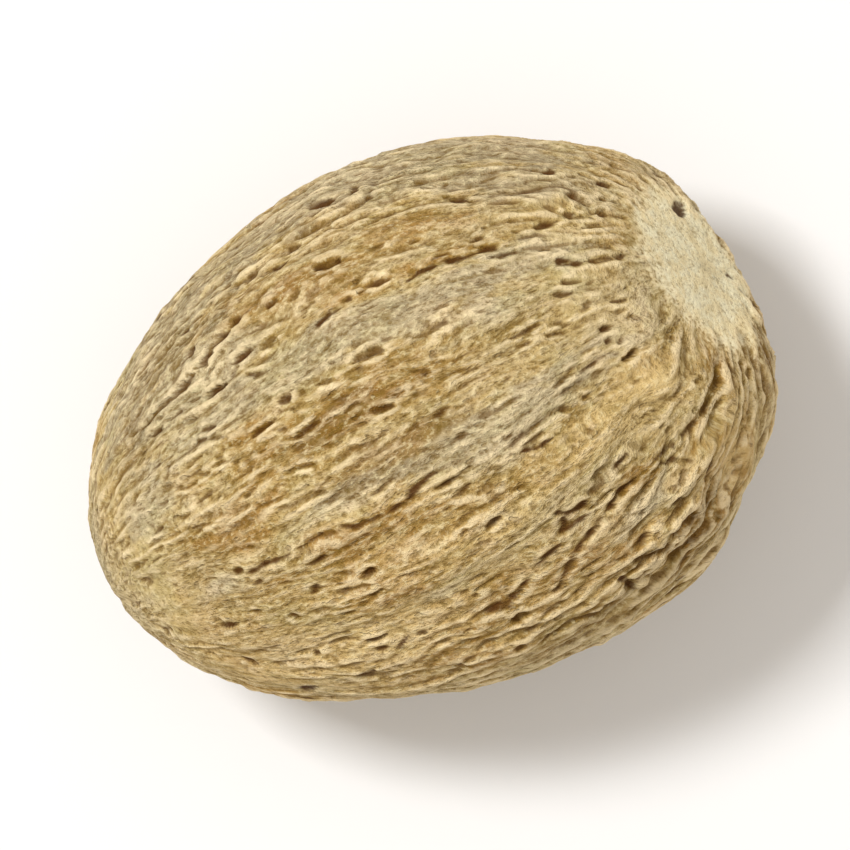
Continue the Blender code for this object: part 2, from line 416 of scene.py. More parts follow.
# Darker (+) and paler (-) places of the upper side: x, y, length, width, how much. Some are the
# skin's own blotches; rows darkening the top rim, the upper left and the right edge are painted shade,
# and rows paling the lower half and the lower-left rim are painted light.
TOP_SHADES_AND_PAINTED_LIGHT = (
    (-2.9, 1.4, 4.2, 1.2, 1.5),
    (-3.5, -0.4, 3.2, 0.5, 0.4),
    (-4.3, -2.6, 6.0, 1.0, 0.4),
    (0.3, 0.1, 1.6, 0.8, 0.5),
    (0.0, 7.2, 22.0, 4.5, 0.45),
    (1.0, 9.6, 20.0, 5.0, 0.65),
    (-7.5, 6.5, 9.0, 3.5, 0.55),
    (-3.0, 6.3, 5.0, 2.4, 0.15),
    (-3.0, 8.7, 5.0, 2.0, 0.3),
    (-1.2, -0.7, 5.0, 1.8, 0.7),
    (-1.0, 4.4, 10.0, 2.0, 0.35),
    (-3.0, 3.2, 9.0, 2.5, 0.25),
    (0.5, -0.8, 9.0, 3.0, 0.25),
    (2.5, 4.3, 5.0, 1.4, 0.15),
    (2.8, -6.4, 4.5, 2.0, 0.2),
    (3.9, -5.3, 2.0, 1.0, 0.5),
    (6.3, -7.8, 3.5, 0.7, 0.6),
    (2.7, -9.2, 4.5, 1.4, 0.5),
    (4.5, -9.0, 9.0, 2.4, 0.4),
    (2.5, -8.0, 6.0, 2.5, -0.6),
    (-10.0, 3.2, 6.0, 3.0, 0.35),
    (12.8, -2.8, 3.5, 3.5, 0.9),
    (-8.8, -0.6, 4.0, 2.0, 0.3),
    (6.3, -3.2, 4.0, 1.8, -0.4),
    (-4.0, -4.4, 4.0, 1.6, -0.4),
    (9.0, -4.3, 4.0, 0.7, 0.35),
    (11.2, -4.6, 5.0, 3.0, -0.7),
    (4.8, 0.7, 2.2, 1.0, -0.5),
    (-6.5, -6.8, 10.0, 5.0, -0.9),
    (-6.0, -6.0, 5.0, 2.0, -0.5),
    (0.5, -4.6, 5.0, 1.6, -0.7),
    (9.3, -1.8, 3.5, 2.0, -0.2),
    (8.3, 1.5, 3.5, 3.0, -0.5),
    (8.6, -6.8, 5.0, 3.5, -0.5),
    (-10.5, -4.0, 5.0, 3.0, -0.3),
    (7.3, -2.3, 5.0, 2.0, -0.65),
    (10.5, 4.5, 3.0, 3.0, -0.4),
)
# Smoother (+) and rougher (-) places of the upper side: x, y, length, width, how much.
TOP_CALMS = (
    (9.3, 1.8, 3.6, 4.2, 0.5),
    (8.8, -0.8, 3.0, 2.0, 0.3),
    (5.5, 3.4, 6.0, 1.6, 0.4),
    (1.8, 4.3, 7.0, 1.3, 0.7),
    (-3.5, 4.3, 4.0, 1.2, 0.5),
    (-11.0, -2.5, 4.0, 3.0, 0.4),
    (-11.0, 0.8, 4.0, 3.0, 0.5),
    (3.5, 0.4, 4.5, 1.6, 0.4),
    (2.0, -5.6, 4.0, 1.4, 0.2),
    (5.5, -3.0, 7.0, 2.0, 0.5),
    (4.5, 2.5, 6.0, 3.0, 0.3),
    (0.0, 7.2, 5.0, 1.6, 0.3),
    (-2.8, 2.0, 4.0, 1.6, 0.3),
    (-8.0, 4.8, 6.0, 2.4, 0.3),
    (-7.0, -5.6, 7.0, 2.6, 0.3),
    (-4.0, -7.4, 6.0, 2.4, -0.2),
    (0.5, 9.4, 8.0, 3.0, -0.6),
    (7.0, -8.0, 6.0, 3.0, -0.6),
)

# ---- The material's values. Colours are screen colours.
# Patterns of the grain: how far they are drawn out along it, scale, detail and roughness.
BLOTCHES = (1.8, 0.9, 3.0, 0.6)
STREAKS = (2.4, 2.4, 4.0, 0.7)
SPECKS = (1.4, 5.0, 3.0, 0.7)
FLECKS = (2.0, 3.0, 2.0, 0.5)
# Patterns that are the same in all directions: scale, detail and roughness.
DRIFT = (0.4, 3.0, 0.6)
CREAM_CLOUDS = (1.3, 5.0, 0.7)
# Where most of a pattern's values lie.
NOISE_LOW = 0.3
NOISE_HIGH = 0.7
# The tone: the share of the stains in it, and the share and pattern of its bands.
STAIN_SHARE = 0.7
BANDS = ((0.3, (3.0, 0.8, 4.0, 0.65)), (0.25, (1.5, 1.5, 3.0, 0.6)))
# Colours from the greyest tone to the warmest.
TONES = ((0.0, "BFAD88"), (0.25, "C1AC7E"), (0.5, "C1A66E"), (0.8, "B69558"), (1.0, "A57F40"))
# Layers of colour: the values from where it starts and where it is full, how strong, and the colour.
OLIVE_CAST = (0.50, 0.32, 0.3, "B2A872")
ROSY_CAST = (0.50, 0.68, 0.2, "C69F74")
# The darker and paler places are partly the skin's own blotches, partly painted shade and painted light.
DARK_AND_SHADED_PLACES = (0.1, 1.1, 0.6)
DARK_GREY = "746240"
DARK_OCHRE = "7C5624"
GREY_TO_OCHRE = (-1.0, 0.2)
PALE_AND_LIT_PLACES = (-0.1, -1.1, 0.55, "F0D292")
DARK_BLOTCHES = (0.50, 0.30, 0.4, "8E6F2D")
PALE_BLOTCHES = (0.52, 0.72, 0.4, "ECD4A6")
DARK_STREAKS = (0.50, 0.34, 0.5, "7E6321")
PALE_STREAKS = (0.52, 0.70, 0.5, "F2DAAE")
DARK_SPECKS = (0.50, 0.36, 0.64, "72571B")
PALE_SPECKS = (0.51, 0.65, 0.38, "F2E2B0")
DARK_FLECKS = (0.65, 0.71, 0.35, "6C4A14")
# Crests rubbed paler with a painted highlight, and hollows of their own brown with painted shade.
PALE_CRESTS_AND_HIGHLIGHT = (0.0, 0.9, 0.66, "F4DEB0")
BROWN_AND_SHADED_HOLLOWS = (0.0, -0.9, 0.6, "6A4A0D")
# The gouges' dark floors: the skin's own brown deepened with painted shade.
BROWN_AND_SHADED_GOUGES = (0.1, 1.0, 0.92, "4E2C08")
# Crests of dark places are less pale: from and to which shade, and the share that is left.
CREST_SHADES = (0.1, 1.0)
DARK_CREST_SHARE = 0.4
# How much streaks and specks move the edges of places and of the scar.
EDGE_WOBBLE = 0.25
TIP_COLOUR = "CCB98E"
TIP_STRENGTH = 0.5
SCAR_COLOUR = "FFF6D0"
SCAR_CLOUD_COLOUR = "F6E4B4"
SCAR_CLOUDS = (0.60, 0.40)
SCAR_EDGE = (0.12, 0.9)
SCAR_STRENGTH = 0.95
# How much the scar takes away of the grain, and of its dark specks.
SCAR_CALM = 0.65
SCAR_CLEANNESS = 0.4
# Roughness of the dark and of the pale streaks.
MATT = 0.78
SILKY = 0.6
SPECULAR = 0.1
# The finest relief: shares of the streaks and flecks beside the specks, and its height in metres.
STREAK_RELIEF = 0.8
FLECK_RELIEF = 0.25
FINE_RELIEF = 0.00026

# ---- The floor, the camera and the light, in metres.
FLOOR_REACH = 1.0
FLOOR_GAP = 0.00002
FLOOR_COLOUR = (0.80, 0.79, 0.77, 1.0)
FLOOR_ROUGHNESS = 0.9
# The picture's upright is turned from +Y, so that the long axis rises to the right.
PICTURE_TURN = math.radians(-23)
PICTURE_WIDTH = 0.0325
# The lens and the sensor are in the camera's millimetres.
LENS = 400.0
SENSOR = 36.0
CLIP_START = 0.01
# The key lamp is a soft square. Its azimuth, in degrees, is from the picture's right.
KEY_AZIMUTH = 150
KEY_ELEVATION = 62
KEY_DISTANCE = 0.5
KEY_SIZE = 0.10
KEY_POWER = 1.90
KEY_COLOUR = (0.985, 1.0, 1.03)
SKY_COLOUR = (1.0, 0.957, 0.915, 1.0)
SKY_STRENGTH = 0.74


def direction(azimuth, elevation):
    """Unit vector at an azimuth from +X and an elevation, both in degrees."""
    turn = math.radians(azimuth)
    rise = math.radians(elevation)
    flat = math.cos(rise)
    return np.array((flat * math.cos(turn), flat * math.sin(turn), math.sin(rise)))


def axis_frame():
    """The middle of the furrows' two ends, and unit vectors along, across and up their axis."""
    hilum = direction(*HILUM)
    chalaza = direction(*CHALAZA)
    along = hilum - chalaza
    along /= np.linalg.norm(along)
    across = np.cross((0.0, 0.0, 1.0), along)
    across /= np.linalg.norm(across)
    return (hilum + chalaza) / 2, along, across, np.cross(along, across)


def meet_at_the_ends(points):
    """Moves points of a unit sphere whose poles are on Z so that the poles are the two ends."""
    middle, along, across, up = axis_frame()
    girth = np.hypot(points[:, 0], points[:, 1])[:, None]
    turn = np.arctan2(points[:, 1], points[:, 0])
    turn = (turn + CROWDING * np.cos(turn))[:, None]
    rays = points[:, 2:3] * along + girth * (np.cos(turn) * across + np.sin(turn) * up)
    lean = rays @ middle
    reach = np.sqrt(lean**2 + 1 - middle @ middle) - lean
    return middle + reach[:, None] * rays


def along_and_round(points):
    """Where points of the unit sphere lie between the ends, -1 to 1, and round the axis."""
    middle, along, across, up = axis_frame()
    rays = points - middle
    rays /= np.linalg.norm(rays, axis=1, keepdims=True)
    return rays @ along, np.arctan2(rays @ up, rays @ across)


def bump(points, centre, spread):
    """1 at the centre, falling smoothly to 0 with the angle from it. The spread is in degrees."""
    nearness = points @ direction(*centre)
    return np.exp((nearness - 1) / (1 - math.cos(math.radians(spread))))


def soft_step(value, width):
    """0 well below zero and 1 well above, rising over the width."""
    share = np.clip(value / width + 0.5, 0, 1)
    return share * share * (3 - 2 * share)


def outward_of(form):
    """Unit vectors from the middle."""
    return form / np.linalg.norm(form, axis=1, keepdims=True)


def turn_between(turn, centre):
    """Angle from the centre to the turn, the short way round, in radians."""
    return np.angle(np.exp(1j * (turn - centre)))


def away_from_foot(form):
    """0 under the seed where it lies, 1 away from there."""
    near = np.exp(-(form[:, 0] ** 2 + form[:, 1] ** 2) / FOOT_FADE**2)
    return 1 - near * (form[:, 2] < 0)


def distance_from(form, end):
    """Distance from the line out through an end, for the points on that end's side."""
    outward = direction(*end)
    ahead = form @ outward
    aside = np.linalg.norm(form - ahead[:, None] * outward, axis=1)
    return np.where(ahead > 0, aside, np.inf)


def egg(points):
    """The plain egg form under everything else."""
    girth = 1 + TAPER * points[:, 0]
    form = points * SIZE / 2
    form[:, 1:] *= girth[:, None]
    return form


def flatten_scar(form):
    """Presses the egg back to the plane of the scar, softly round its edge."""
    outward = direction(*SCAR_FACING)
    over = (form @ outward - SCAR_DISTANCE) / SCAR_SOFTNESS
    return form - SCAR_SOFTNESS * np.logaddexp(0, over)[:, None] * outward


def broad_relief(points, form):
    """How far the solid stands out of the egg, in millimetres."""
    towards = outward_of(form)
    height = sum(rise * bump(towards, (turn, tilt), spread) for turn, tilt, rise, spread in SWELLS)
    place, turn = along_and_round(points)
    fade = 1 - place**2
    lines = sum(depth * np.cos(count * turn + phase + sway * place) for count, depth, phase, sway in FURROWS)
    gain = 1 + SHOULDER_GAIN * bump(towards, SHOULDER, SHOULDER_SPREAD)
    height += lines * gain * fade * away_from_foot(form)
    raphe = turn_between(turn, RAPHE_LONGITUDE) / RAPHE_WIDTH
    height -= RAPHE_DEPTH * fade * np.exp(-(raphe**2))
    rim = (distance_from(form, HILUM) - SCAR_RIM_RADIUS) / SCAR_RIM_WIDTH
    height += SCAR_RIM_HEIGHT * np.exp(-(rim**2))
    return height - PIT_DEPTH * np.exp(-((distance_from(form, CHALAZA) / PIT_RADIUS) ** 2))


def smooth_form(points):
    """The solid's surface, brought to its box, from points of the unit sphere."""
    form = flatten_scar(egg(points))
    form = form + broad_relief(points, form)[:, None] * outward_of(form)
    form[:, 2] = np.maximum(form[:, 2], form[:, 2].min() + FOOT_CUT)
    low = form.min(axis=0)
    high = form.max(axis=0)
    return (form - (low + high) / 2) * SIZE / (high - low) + MIDDLE


# ---- The mesh: a cube blown up to a ball, so that the squares are even and the map has six islands.


def cube_faces():
    """Normal, right and up of each face, and how many squares it has to the right and up."""
    x, y, z = np.eye(3)
    sides = [(x, y, z), (y, -x, z), (-x, -y, z), (-y, x, z)]
    ends = [(z, x, y), (-z, y, x)]
    return [side + (ACROSS, ALONG) for side in sides] + [end + (ACROSS, ACROSS) for end in ends]


def island(index, flat):
    """Places of one face on the map: two rows of three islands."""
    cell = np.array((1 / 3, 1 / 2))
    corner = np.array((index % 3, index // 3)) * cell
    return corner + MAP_MARGIN + flat * (cell - 2 * MAP_MARGIN)


def blown_up_cube():
    """Unit-sphere points, squares between them, and the map's place of each square's corners."""
    points, squares, places = [], [], []
    start = 0
    for index, (normal, right, up, columns, rows) in enumerate(cube_faces()):
        across, above = np.meshgrid(np.linspace(-1, 1, columns + 1), np.linspace(-1, 1, rows + 1))
        stretch = np.tan(across.reshape(-1, 1) * math.pi / 4)
        rise = np.tan(above.reshape(-1, 1) * math.pi / 4)
        points.append(outward_of(normal + stretch * right + rise * up))
        places.append(island(index, np.stack([across.ravel(), above.ravel()], axis=1) / 2 + 0.5))
        corner = np.arange(rows)[:, None] * (columns + 1) + np.arange(columns) + start
        corner = corner.reshape(-1, 1)
        squares.append(corner + np.array((0, 1, columns + 2, columns + 1)))
        start += (columns + 1) * (rows + 1)
    points, squares = np.concatenate(points), np.concatenate(squares)
    corner_places = np.concatenate(places)[squares.ravel()]
    _, first, index = np.unique(np.round(points, 6), axis=0, return_index=True, return_inverse=True)
    return points[first], index.reshape(-1)[squares], corner_places


# ---- The skin's fine relief.


def noise_at(places, sizes, seed):
    """Smooth noise of about -1 to 1, with features of these sizes along each axis."""
    spots = places / np.array(sizes) + seed * SEED_STEP
    return np.array([noise.noise(spot) for spot in spots.tolist()])


class Skin:
    """The seed's surface as arrays, one row a point."""

    def __init__(self, sphere):
        points = meet_at_the_ends(sphere)
        self.form = smooth_form(points)
        self.flat = self.form - MIDDLE
        self.outward = outward_of(self.flat)
        self.height, self.dark, self.warm, self.shade = np.zeros((4, len(points)))
        self.shoulder = bump(self.outward, SHOULDER, SHOULDER_SPREAD)
        self.follow_grain(points)
        self.wiggle = WIGGLE_REACH * self.drawn_noise(*WIGGLES)
        self.bites = self.drawn_noise(*BITES)
        self.ragged = sum(much * self.drawn_noise(*pattern) for much, pattern in SPOT_EDGES)
        self.scar = self.patch(*SCAR)
        self.tip = self.patch(*TIP)
        self.settle_roughness()

    def follow_grain(self, points):
        """Where every point lies along the grain and round the axis, and how far it is from the axis."""
        place, turn = along_and_round(points)
        self.run = GRAIN_REACH * np.arcsin(np.clip(place, -1, 1))
        self.reach = GRAIN_RADIUS * np.sqrt(np.maximum(1 - place**2, 0)) + LEAST_RADIUS
        self.turn = turn
        sway = BROAD_SWAY * self.drawn_noise(*BROAD_SWAYS)
        sway += (CLOSE_SWAY + SHOULDER_SWAY * self.shoulder) * self.drawn_noise(*CLOSE_SWAYS)
        self.turn = turn + sway / self.reach

    def settle_roughness(self):
        """How rough each point is, and where more goes on: 0 is calm and 1 is busy."""
        smooth_end = END_SMOOTHNESS * self.patch(*SMOOTH_END)
        calm = sum(much * self.spot(*place) for *place, much in TOP_CALMS)
        calm = np.clip(calm, *CALM_LIMITS)
        self.rough = 1 - np.maximum(smooth_end, TIP_SMOOTHNESS * self.tip)
        self.rough *= 1 - CALM_SMOOTHNESS * calm
        busy = self.drawn_noise(*BUSY_PLACES) + BUSY_ON_SHOULDER * self.shoulder
        self.busy = soft_step(busy, BUSY_EDGE) * (1 - calm)

    def cylinder(self, radius, points=slice(None)):
        """The grain's coordinates: along it, then round a cylinder of this radius."""
        turn = self.turn[points]
        return np.stack([self.run[points], radius * np.cos(turn), radius * np.sin(turn)], axis=1)

    def drawn_noise(self, along, across, seed):
        """Noise drawn out along the grain, as wide near the ends as round the middle."""
        level = np.log(GRAIN_RADIUS / self.reach) / math.log(GRAIN_STEP)
        level = np.clip(level, 0, GRAIN_LEVELS - 1)
        total = np.zeros(len(level))
        for step in range(GRAIN_LEVELS):
            share = np.clip(1 - np.abs(level - step), 0, 1)
            points = np.flatnonzero(share)
            places = self.cylinder(GRAIN_RADIUS / GRAIN_STEP**step, points)
            sizes = (along, across, across)
            total[points] += np.sqrt(share[points]) * noise_at(places, sizes, seed + LEVEL_SEEDS * step)
        return total

    def even_noise(self, size, seed):
        """Noise that is the same in all directions."""
        return noise_at(self.flat, (size, size, size), seed)

    def patch(self, end, reach, edge, seed):
        """1 on a patch round an end with an uneven edge, 0 away from it."""
        inside = reach - distance_from(self.flat, end)
        for step, (much, size) in enumerate(PATCH_EDGES):
            inside += much * self.even_noise(size, seed + step)
        return soft_step(inside, edge)

    def above(self, x, y):
        """Index of the upper point that is seen from above at x, y."""
        apart = (self.flat[:, 0] - x) ** 2 + (self.flat[:, 1] - y) ** 2
        return int(np.argmin(np.where(self.flat[:, 2] > 0, apart, np.inf)))

    def along_and_aside(self, index):
        """How far every point is from one point, along the grain and across it."""
        run = self.run - self.run[index]
        return run, turn_between(self.turn, self.turn[index]) * self.reach

    def spot(self, x, y, length, width):
        """1 on a ragged spot drawn out along the grain round a place seen from above, 0 away from it."""
        run, side = self.along_and_aside(self.above(x, y))
        away = np.hypot(run / length * 2, side / width * 2)
        return soft_step(1.0 + self.ragged - away, 1.0)

    def heading(self, index):
        """Direction of the grain at a point as seen from above, in degrees from +X."""
        run, side = self.along_and_aside(index)
        ahead = np.argmin((run - HEADING_STEP) ** 2 + side**2)
        behind = np.argmin((run + HEADING_STEP) ** 2 + side**2)
        step = self.flat[ahead] - self.flat[behind]
        return math.degrees(math.atan2(step[1], step[0]))

    def dig(self, points, floor, lip, depth, stain_and_shade):
        """Lowers points by a share of the depth, raises the lip and darkens the floor with brown and painted
        shade.
        """
        self.height[points] += depth * (LIP_SHARE * lip - floor)
        deep = stain_and_shade * floor * (1 + FLOOR_BITES * self.bites[points])
        self.dark[points] = np.maximum(self.dark[points], deep)


def gouge(skin, points, places, length, half_width, depth, stain_and_shade):
    """Digs one long pit with a ragged edge and a low lip, given the points' places along and across it."""
    run, side = places
    along = np.abs(run) / (length / 2)
    ends = np.sqrt(np.clip(1 - along**2, 0, 1))
    edge = half_width * ends * (1 + EDGE_BITES * skin.bites[points]) + LEAST_EDGE
    floor = np.clip(1 - (side / edge) ** 2, 0, 1) * (along < 1)
    away = (np.abs(side) - edge) / LIP_WIDTH
    lip = np.exp(-((away - 1) ** 2)) * np.clip(LIP_TAPER * (1 - along**2), 0, 1)
    skin.dig(points, floor, lip, depth, stain_and_shade)


def tilted(run, side, tilt):
    """Places along and across a line that is tilted, in degrees, from the one they were measured by."""
    lean = math.radians(tilt)
    return run * math.cos(lean) + side * math.sin(lean), side * math.cos(lean) - run * math.sin(lean)


def top_gouge(skin, x, y, length, half_width, depth, tilt=0):
    """A gouge of the upper side, at a place and of a size as seen from above."""
    index = skin.above(x, y)
    away = skin.flat[:, :2] - (x, y)
    points = np.flatnonzero((np.hypot(*away.T) < length) & (skin.flat[:, 2] > -1))
    run, side = tilted(*away[points].T, skin.heading(index) + tilt)
    side = side + skin.wiggle[points] - skin.wiggle[index]
    stain_and_shade = 1 - TOP_STAIN_AND_SHADE_LOSS * skin.outward[index, 2]
    gouge(skin, points, (run, side), length, half_width, TOP_DEPTH_GAIN * depth, stain_and_shade)


def strewn_gouge(skin, index, length, half_width, depth, tilt, stain_and_shade):
    """A gouge anywhere, its size measured on the skin."""
    run, side = skin.along_and_aside(index)
    points = np.flatnonzero((np.abs(run) < length) & (np.abs(side) < length + 5 * half_width))
    side = side[points] + skin.wiggle[points] - skin.wiggle[index]
    gouge(skin, points, tilted(run[points], side, tilt), length, half_width, depth, stain_and_shade)


def distance_to_line(seen, corners):
    """Distance of points seen from above from a line through the corners."""
    away = np.full(len(seen), np.inf)
    for start, end in zip(np.array(corners), np.array(corners[1:])):
        stretch = end - start
        share = np.clip((seen - start) @ stretch / (stretch @ stretch), 0, 1)
        away = np.minimum(away, np.linalg.norm(seen - start - share[:, None] * stretch, axis=1))
    return away


def crease(skin, half_width, depth, corners):
    """Cuts one crease of the upper side along a line seen from above."""
    upper = np.flatnonzero(skin.flat[:, 2] > -0.5)
    away = distance_to_line(skin.flat[upper, :2], corners)
    close = away < 6 * half_width
    points = upper[close]
    away = away[close] + CREASE_WIGGLE * skin.wiggle[points]
    flatness = np.clip(STEEP_GAIN * skin.outward[points, 2], STEEP_SHARE, 1)
    bitten = np.clip(1 + CREASE_BITES * skin.bites[points], *CREASE_EDGE_LIMITS)
    edge = half_width * flatness * bitten
    floor = np.clip(1 - (away / edge) ** 2, 0, 1)
    lip = CREASE_LIP * np.exp(-(((away - edge) / CREASE_LIP_WIDTH - 1) ** 2))
    skin.dig(points, floor, lip, depth, CREASE_STAIN_AND_SHADE * flatness)


def strew_gouges(skin, draw, chances, kind):
    """Gouges of one kind, their places and sizes drawn at random."""
    count, length, half_width, depth, width_power, depth_power, spread, stains = kind
    for index in draw.choice(len(chances), count, p=chances / chances.sum()):
        size = draw.lognormal(0, SIZE_SPREAD)
        tilt = draw.normal(0, spread)
        stain_and_shade = draw.uniform(*stains)
        wide = half_width * size**width_power
        deep = depth * size**depth_power
        strewn_gouge(skin, index, length * size, wide, deep, tilt, stain_and_shade)


def scatter_gouges(skin):
    """Gouges strewn all over, but no strong ones where the upper side has its own."""
    draw = np.random.default_rng(STREWN_SEED)
    crowd = CROWD_BASE + np.clip(skin.drawn_noise(*CROWDS), *CROWD_LIMITS)
    chances = skin.rough**3 * skin.reach * crowd
    hidden = np.where(skin.flat[:, 2] > STRONG_BELOW, 0.0, chances)
    strew_gouges(skin, draw, hidden, STRONG_GOUGES)
    strew_gouges(skin, draw, chances, FAINT_GOUGES)


def raise_relief(skin):
    """Lumps and ridges, from coarse to fine."""
    for height, size, seed in EVEN_RELIEF:
        skin.height += height * skin.even_noise(size, seed)
    for height, on_shoulder, in_busy, pattern in DRAWN_RELIEF:
        whole = height + on_shoulder * skin.shoulder + in_busy * skin.busy
        skin.height += whole * skin.rough * skin.drawn_noise(*pattern)
    ridged = RIDGED_BASE + RIDGED_ON_SHOULDER * skin.shoulder + skin.drawn_noise(*RIDGED_PLACES)
    ridged = soft_step(ridged, RIDGED_EDGE)
    lumps = skin.drawn_noise(*LUMPS)
    either = lumps + ridged * (skin.drawn_noise(*RIDGES) - lumps)
    skin.height += (RIDGE_HEIGHT + BUSY_RIDGE_HEIGHT * skin.busy) * skin.rough * either


def cut_wrinkles(skin):
    """Thin branching lines drawn out along the grain, which break off here and there."""
    for strength, along, across, seed, width in WRINKLES:
        lines = np.exp(-((skin.drawn_noise(along, across, seed) / width) ** 2))
        unbroken = skin.drawn_noise(BREAK_LENGTH * along, BREAK_WIDTH * across, seed + 1)
        lines *= soft_step(unbroken, BREAK_EDGE)
        lines *= strength * skin.rough
        skin.height -= WRINKLE_DEPTH * lines
        skin.dark += WRINKLE_STAIN_AND_SHADE * lines


def cut_pocks(skin):
    """Small pits, more of them in busy places."""
    above_level = skin.drawn_noise(*POCKS) - (POCK_LEVEL - POCK_BUSY_DROP * skin.busy)
    pocks = soft_step(above_level, POCK_EDGE) * skin.rough
    skin.height -= POCK_DEPTH * pocks
    skin.dark += POCK_STAIN_AND_SHADE * pocks


def roughen(skin):
    """All the fine relief, which fades out on the flat under the seed."""
    raise_relief(skin)
    cut_wrinkles(skin)
    cut_pocks(skin)
    for row in TOP_GOUGES:
        top_gouge(skin, *row)
    for row in TOP_CREASES:
        crease(skin, *row)
    scatter_gouges(skin)
    skin.height *= 1 - FOOT_SMOOTHNESS * (1 - away_from_foot(skin.flat))


def strewn(skin, strength, share_on_top, pattern):
    """A pattern that is weaker on the upper side, which has its own places."""
    hidden = soft_step(HIDDEN_BELOW - skin.flat[:, 2], HIDDEN_FADE)
    return strength * (share_on_top + (1 - share_on_top) * hidden) * skin.drawn_noise(*pattern)


def add_stains(skin):
    """Ochre and grey stains, partly painted warm reflected light, and darker and paler places, partly painted
    shade and painted light, drawn out along the grain.
    """
    for *place, strength in TOP_STAINS_AND_WARM_REFLECTION:
        skin.warm += strength * skin.spot(*place)
    for *place, strength in TOP_SHADES_AND_PAINTED_LIGHT:
        skin.shade += strength * skin.spot(*place)
    skin.warm += strewn(skin, *STREWN_STAINS)
    skin.shade += strewn(skin, *STREWN_SHADES)


# ---- The seed's mesh.


def link_to_scene(name, data):
    """An object in the scene that holds the data."""
    made = bpy.data.objects.new(name, data)
    bpy.context.scene.collection.objects.link(made)
    return made


def evened(values, squares, rounds=1):
    """Values averaged with their neighbours' along the squares' sides."""
    for _ in range(rounds):
        total = np.zeros(len(values))
        count = np.zeros(len(values))
        for step in (1, 3):
            np.add.at(total, squares, values[np.roll(squares, step, axis=1)])
            np.add.at(count, squares, 1)
        values = total / count
    return values


def even_out_walls(skin, squares):
    """Evens out the gouges' steep walls, so that the mesh carries them cleanly."""
    near_gouges = np.clip(WALL_GAIN * evened(skin.dark, squares), 0, 1)
    skin.height += WALL_SMOOTHNESS * near_gouges * (evened(skin.height, squares) - skin.height)


def write_attributes(mesh, skin, squares):
    """What the material reads from the mesh."""
    stands_out = skin.height - evened(skin.height, squares, CREST_ROUNDS)
    values = {
        "dark": np.clip(skin.dark, 0, 1),
        "crest": np.clip(stands_out / CREST_HEIGHT, -1, 1),
        "warm": np.clip(skin.warm, -1, 1),
        "shade": np.clip(skin.shade, -1, 1),
        "scar": skin.scar,
        "tip": skin.tip,
        "inner": soft_step(INNER_START - skin.reach, INNER_FADE),
    }
    for name, value in values.items():
        mesh.attributes.new(name, "FLOAT", "POINT").data.foreach_set("value", value)
    for name, radius in (("grain", GRAIN_RADIUS), ("inner_grain", INNER_RADIUS)):
        places = skin.cylinder(radius).ravel()
        mesh.attributes.new(name, "FLOAT_VECTOR", "POINT").data.foreach_set("vector", places)


def make_nutmeg():
    """The seed's mesh with its map and its attributes."""
    sphere, squares, corner_places = blown_up_cube()
    skin = Skin(sphere)
    roughen(skin)
    even_out_walls(skin, squares)
    add_stains(skin)
    places = skin.form + skin.height[:, None] * skin.outward
    places[:, 2] = np.maximum(places[:, 2], 0)
    mesh = bpy.data.meshes.new("nutmeg_seed")
    mesh.from_pydata((places * MM).tolist(), [], squares.tolist())
    mesh.uv_layers.new(name="OFBake").data.foreach_set("uv", corner_places.ravel())
    write_attributes(mesh, skin, squares)
    mesh.shade_smooth()
    return link_to_scene("nutmeg_seed", mesh)


# ---- The material.


def colour(text):
    """Linear colour from a screen colour written as six hexadecimal digits."""
    parts = [int(text[at:at + 2], 16) / 255 for at in (0, 2, 4)]
    linear = [part / 12.92 if part <= 0.04045 else ((part + 0.055) / 1.055) ** 2.4 for part in parts]
    return (*linear, 1.0)


class Wiring:
    """Short words for a material's nodes and the links between them."""

    def __init__(self, name):
        self.material = bpy.data.materials.new(name)
        self.material.use_nodes = True
        self.tree = self.material.node_tree
        self.shader = self.tree.nodes["Principled BSDF"]

    def put(self, socket, value):
        """Links a node's output to a socket, or sets the socket to a number or a screen colour."""
        if isinstance(value, bpy.types.NodeSocket):
            self.tree.links.new(value, socket)
        else:
            socket.default_value = colour(value) if isinstance(value, str) else value

    def add(self, kind, inputs, **settings):
        """A node with these settings and inputs."""
        node = self.tree.nodes.new(kind)
        for name, value in settings.items():
            setattr(node, name, value)
        for name, value in inputs.items():
            self.put(node.inputs[name], value)
        return node

    def read(self, name, output="Fac"):
        """The mesh's attribute of this name."""
        return self.add("ShaderNodeAttribute", {}, attribute_name=name).outputs[output]

    def math(self, operation, first, second):
        return self.add("ShaderNodeMath", {0: first, 1: second}, operation=operation).outputs[0]

    def rest_of(self, value, share):
        """1 less a share of the value."""
        return self.math("SUBTRACT", 1.0, self.math("MULTIPLY", value, share))

    def scaled(self, vector, scale):
        node = self.add("ShaderNodeVectorMath", {0: vector, 1: scale}, operation="MULTIPLY")
        return node.outputs[0]

    def noise(self, vector, scale, detail, roughness):
        inputs = {"Vector": vector, "Scale": scale, "Detail": detail, "Roughness": roughness}
        return self.add("ShaderNodeTexNoise", inputs).outputs[0]

    def span(self, value, low, high, to_low=0.0, to_high=1.0):
        """Value from low to high, brought to to_low to to_high with soft ends."""
        inputs = {0: value, 1: low, 2: high, 3: to_low, 4: to_high}
        return self.add("ShaderNodeMapRange", inputs, interpolation_type="SMOOTHSTEP").outputs[0]

    def noise_span(self, value, to_low, to_high):
        """A pattern's usual values, brought to to_low to to_high."""
        return self.span(value, NOISE_LOW, NOISE_HIGH, to_low, to_high)

    def blend(self, share, first, second):
        """Plain number between two."""
        return self.add("ShaderNodeMix", {0: share, 2: first, 3: second}).outputs[0]

    def mix(self, share, first, second):
        """Colour between two."""
        inputs = {0: share, 6: first, 7: second}
        return self.add("ShaderNodeMix", inputs, data_type="RGBA").outputs[2]


